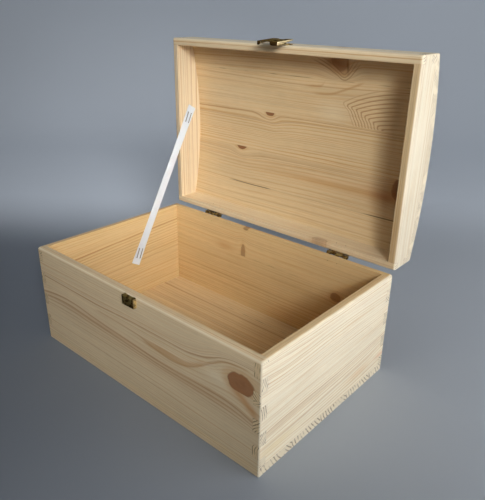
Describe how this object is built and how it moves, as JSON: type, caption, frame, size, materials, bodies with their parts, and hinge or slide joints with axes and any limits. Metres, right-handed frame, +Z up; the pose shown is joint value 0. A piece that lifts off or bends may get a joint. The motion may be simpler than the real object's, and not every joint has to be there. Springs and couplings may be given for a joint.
{
  "type": "wooden chest with arched lid",
  "caption": "Rectangular pine chest with finger-jointed corners and a shallow arched lid that stands open on back hinges, held by a ribbon stay, with a metal hasp catch at the front.",
  "frame": {"origin": "centre of the base's underside", "axes": "+X to the right along the length, +Y from the front with the catch to the hinged back, +Z up"},
  "size_m": [0.3, 0.2426, 0.3086],
  "materials": {
    "pine": "bare, sanded pine with a straight and cathedral grain",
    "hinge_brass": "brass-plated pressed sheet",
    "catch_brass": "antique brass-plated pressed sheet",
    "nail_brass": "brass-plated nails",
    "white_ribbon": "white woven tape",
    "staple_steel": "bright wire"
  },
  "bodies": {
    "base": {"base_front_board": "pine", "base_back_board": "pine", "base_left_board": "pine", "base_right_board": "pine", "base_bottom_panel": "pine", "hinge_base_leaf_left": "hinge_brass", "hinge_base_leaf_right": "hinge_brass", "hinge_pin_left": "hinge_brass", "hinge_pin_right": "hinge_brass", "hinge_nails_base": "nail_brass", "catch_keeper": "catch_brass", "ribbon_stay": "white_ribbon", "staples_base": "staple_steel"},
    "lid": {"lid_front_board": "pine", "lid_back_board": "pine", "lid_left_end": "pine", "lid_right_end": "pine", "lid_top_panel": "pine", "hinge_lid_leaf_left": "hinge_brass", "hinge_lid_leaf_right": "hinge_brass", "hinge_nails_lid": "nail_brass", "catch_plate": "catch_brass", "catch_plate_nails": "nail_brass", "catch_pin": "catch_brass", "staples_lid": "staple_steel"},
    "hasp": {"catch_hasp": "catch_brass"}
  },
  "joints": [
    {"name": "lid_hinge", "type": "hinge", "parent": "base", "child": "lid", "pos_m": [0, 0.0983, 0.1082], "axis": [1, 0, 0], "range_deg": [0, 90], "deforming": ["ribbon_stay"]},
    {"name": "hasp_pivot", "type": "hinge", "parent": "lid", "child": "hasp", "pos_m": [0.002, 0.1037, 0.3066], "axis": [-1, 0, 0], "range_deg": [0, 165]}
  ]
}
